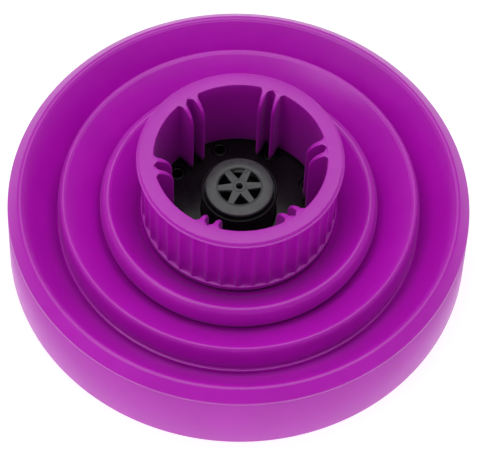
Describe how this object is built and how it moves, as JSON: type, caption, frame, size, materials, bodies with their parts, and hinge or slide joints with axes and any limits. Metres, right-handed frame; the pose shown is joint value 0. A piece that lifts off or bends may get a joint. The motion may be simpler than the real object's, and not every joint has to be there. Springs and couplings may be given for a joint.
{
  "type": "collapsible hair dryer diffuser",
  "caption": "Round silicone diffuser bowl that folds flat in steps, with a fluted dryer collar, soft grip fins, and a black plate with hollow fingers on the hair side.",
  "frame": {"origin": "centre of the skirt's lower edge, on the plane it rests on with its hair side down", "axes": "+Z along the axis of the bowl, from the hair side towards the dryer; +X through the first pair of grip fins"},
  "size_m": [0.1548, 0.1548, 0.051],
  "materials": {
    "purple_silicone": "satin moulded silicone",
    "black_plastic": "glossy moulded plastic",
    "dark_grey_plastic": "satin moulded plastic"
  },
  "bodies": {
    "bowl_base": {"silicone_rim": "purple_silicone", "outer_fold_web": "purple_silicone", "diffuser_plate": "black_plastic", "centre_stem": "black_plastic", "centre_finger": "black_plastic", "vent_cap": "dark_grey_plastic", "finger_inner_1": "black_plastic", "finger_inner_2": "black_plastic", "finger_inner_3": "black_plastic", "finger_inner_4": "black_plastic", "finger_inner_5": "black_plastic", "finger_inner_6": "black_plastic", "finger_inner_7": "black_plastic", "finger_inner_8": "black_plastic", "finger_inner_9": "black_plastic", "finger_outer_1": "black_plastic", "finger_outer_2": "black_plastic", "finger_outer_3": "black_plastic", "finger_outer_4": "black_plastic", "finger_outer_5": "black_plastic", "finger_outer_6": "black_plastic", "finger_outer_7": "black_plastic", "finger_outer_8": "black_plastic", "finger_outer_9": "black_plastic", "finger_outer_10": "black_plastic", "finger_outer_11": "black_plastic", "finger_outer_12": "black_plastic", "finger_outer_13": "black_plastic", "finger_outer_14": "black_plastic", "finger_outer_15": "black_plastic"},
    "outer_step": {"outer_step_ring": "purple_silicone", "middle_fold_web": "purple_silicone"},
    "inner_step": {"inner_step_ring": "purple_silicone", "inner_fold_web": "purple_silicone"},
    "collar": {"silicone_collar": "purple_silicone"},
    "fin_1a": {"grip_fin_1a": "purple_silicone"},
    "fin_1b": {"grip_fin_1b": "purple_silicone"},
    "fin_2a": {"grip_fin_2a": "purple_silicone"},
    "fin_2b": {"grip_fin_2b": "purple_silicone"},
    "fin_3a": {"grip_fin_3a": "purple_silicone"},
    "fin_3b": {"grip_fin_3b": "purple_silicone"},
    "fin_4a": {"grip_fin_4a": "purple_silicone"},
    "fin_4b": {"grip_fin_4b": "purple_silicone"},
    "fin_5a": {"grip_fin_5a": "purple_silicone"},
    "fin_5b": {"grip_fin_5b": "purple_silicone"},
    "fin_6a": {"grip_fin_6a": "purple_silicone"},
    "fin_6b": {"grip_fin_6b": "purple_silicone"}
  },
  "joints": [
    {"name": "outer_fold", "type": "slide", "parent": "bowl_base", "child": "outer_step", "axis": [0, 0, 1], "range_m": [0, 0.0226], "deforming": ["outer_fold_web"]},
    {"name": "middle_fold", "type": "slide", "parent": "outer_step", "child": "inner_step", "axis": [0, 0, 1], "range_m": [0, 0.0182], "deforming": ["middle_fold_web"]},
    {"name": "inner_fold", "type": "slide", "parent": "inner_step", "child": "collar", "axis": [0, 0, 1], "range_m": [0, 0.0154], "deforming": ["inner_fold_web"]},
    {"name": "fin_1a_bend", "type": "hinge", "parent": "collar", "child": "fin_1a", "pos_m": [0.0266, -0.00235, 0.036], "axis": [0, 0, 1], "range_deg": [-10, 60], "stiffness_Nm_per_rad": 0.002},
    {"name": "fin_1b_bend", "type": "hinge", "parent": "collar", "child": "fin_1b", "pos_m": [0.0266, 0.00235, 0.036], "axis": [0, 0, -1], "range_deg": [-10, 60], "stiffness_Nm_per_rad": 0.002},
    {"name": "fin_2a_bend", "type": "hinge", "parent": "collar", "child": "fin_2a", "pos_m": [0.01533, 0.02186, 0.036], "axis": [0, 0, 1], "range_deg": [-10, 60], "stiffness_Nm_per_rad": 0.002},
    {"name": "fin_2b_bend", "type": "hinge", "parent": "collar", "child": "fin_2b", "pos_m": [0.01126, 0.02421, 0.036], "axis": [0, 0, -1], "range_deg": [-10, 60], "stiffness_Nm_per_rad": 0.002},
    {"name": "fin_3a_bend", "type": "hinge", "parent": "collar", "child": "fin_3a", "pos_m": [-0.01126, 0.02421, 0.036], "axis": [0, 0, 1], "range_deg": [-10, 60], "stiffness_Nm_per_rad": 0.002},
    {"name": "fin_3b_bend", "type": "hinge", "parent": "collar", "child": "fin_3b", "pos_m": [-0.01533, 0.02186, 0.036], "axis": [0, 0, -1], "range_deg": [-10, 60], "stiffness_Nm_per_rad": 0.002},
    {"name": "fin_4a_bend", "type": "hinge", "parent": "collar", "child": "fin_4a", "pos_m": [-0.0266, 0.00235, 0.036], "axis": [0, 0, 1], "range_deg": [-10, 60], "stiffness_Nm_per_rad": 0.002},
    {"name": "fin_4b_bend", "type": "hinge", "parent": "collar", "child": "fin_4b", "pos_m": [-0.0266, -0.00235, 0.036], "axis": [0, 0, -1], "range_deg": [-10, 60], "stiffness_Nm_per_rad": 0.002},
    {"name": "fin_5a_bend", "type": "hinge", "parent": "collar", "child": "fin_5a", "pos_m": [-0.01533, -0.02186, 0.036], "axis": [0, 0, 1], "range_deg": [-10, 60], "stiffness_Nm_per_rad": 0.002},
    {"name": "fin_5b_bend", "type": "hinge", "parent": "collar", "child": "fin_5b", "pos_m": [-0.01126, -0.02421, 0.036], "axis": [0, 0, -1], "range_deg": [-10, 60], "stiffness_Nm_per_rad": 0.002},
    {"name": "fin_6a_bend", "type": "hinge", "parent": "collar", "child": "fin_6a", "pos_m": [0.01126, -0.02421, 0.036], "axis": [0, 0, 1], "range_deg": [-10, 60], "stiffness_Nm_per_rad": 0.002},
    {"name": "fin_6b_bend", "type": "hinge", "parent": "collar", "child": "fin_6b", "pos_m": [0.01533, -0.02186, 0.036], "axis": [0, 0, -1], "range_deg": [-10, 60], "stiffness_Nm_per_rad": 0.002}
  ]
}
